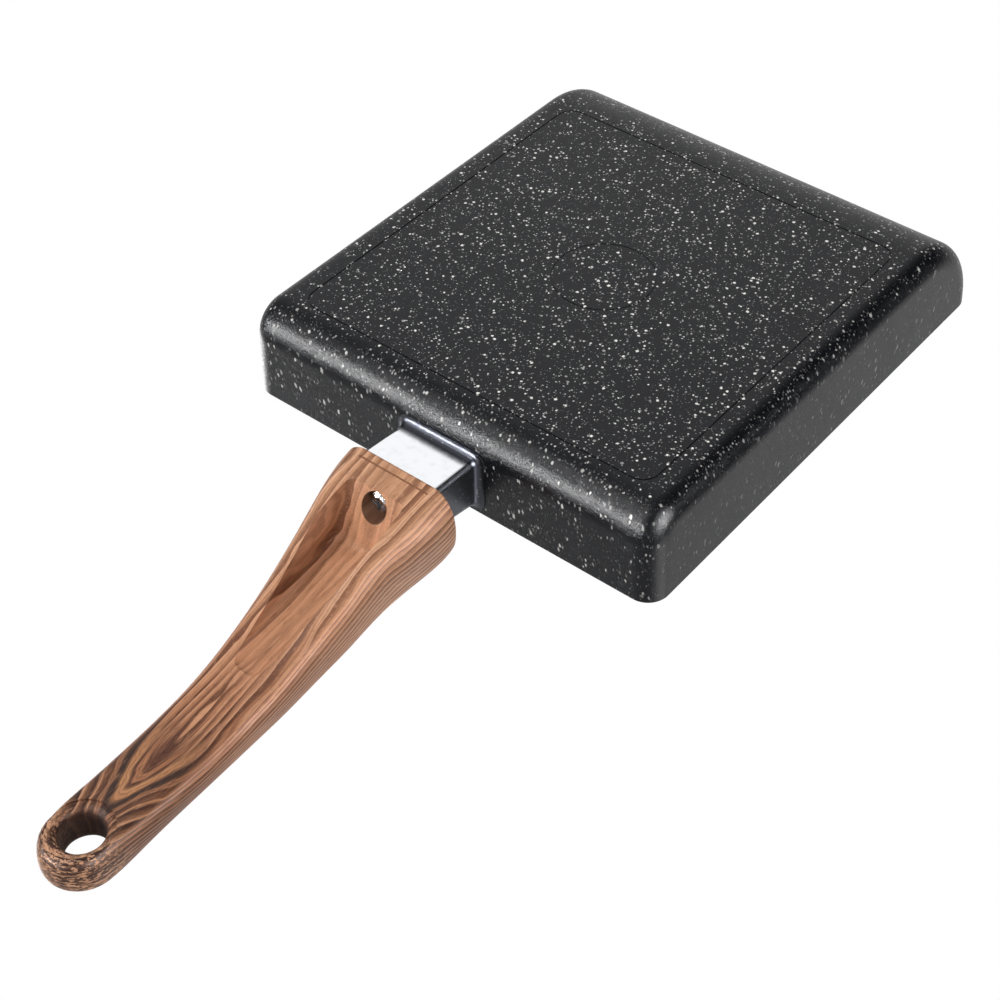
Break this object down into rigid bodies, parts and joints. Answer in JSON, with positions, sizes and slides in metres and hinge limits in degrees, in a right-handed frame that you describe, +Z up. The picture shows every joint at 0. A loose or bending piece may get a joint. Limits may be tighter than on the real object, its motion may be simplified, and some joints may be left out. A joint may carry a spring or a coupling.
{
  "type": "rectangular omelette pan",
  "caption": "Rectangular omelette pan with a curved leaning far wall, a speckled coating, a bright metal neck sleeve and a wood-look moulded grip with a hang hole.",
  "frame": {"origin": "on the flat base, below the middle of the rim's rectangle", "axes": "+Z up out of the pan, +Y towards the curved far wall with the handle along -Y, +X across the pan"},
  "size_m": [0.16, 0.3449, 0.0568],
  "materials": {
    "coating": "speckled dark non-stick coating, semi-gloss, on aluminium",
    "stud_aluminium": "bare turned aluminium",
    "polished_steel": "polished stainless steel",
    "wood_look_plastic": "moulded phenolic with a glossy wood-look print",
    "screw_steel": "bright plated steel",
    "washer_steel": "plated spring steel"
  },
  "bodies": {
    "root": {"pan_body": "coating", "weld_stud": "stud_aluminium", "flame_guard": "polished_steel", "handle_grip": "wood_look_plastic", "handle_screw": "screw_steel", "lock_washer": "washer_steel"}
  },
  "joints": []
}
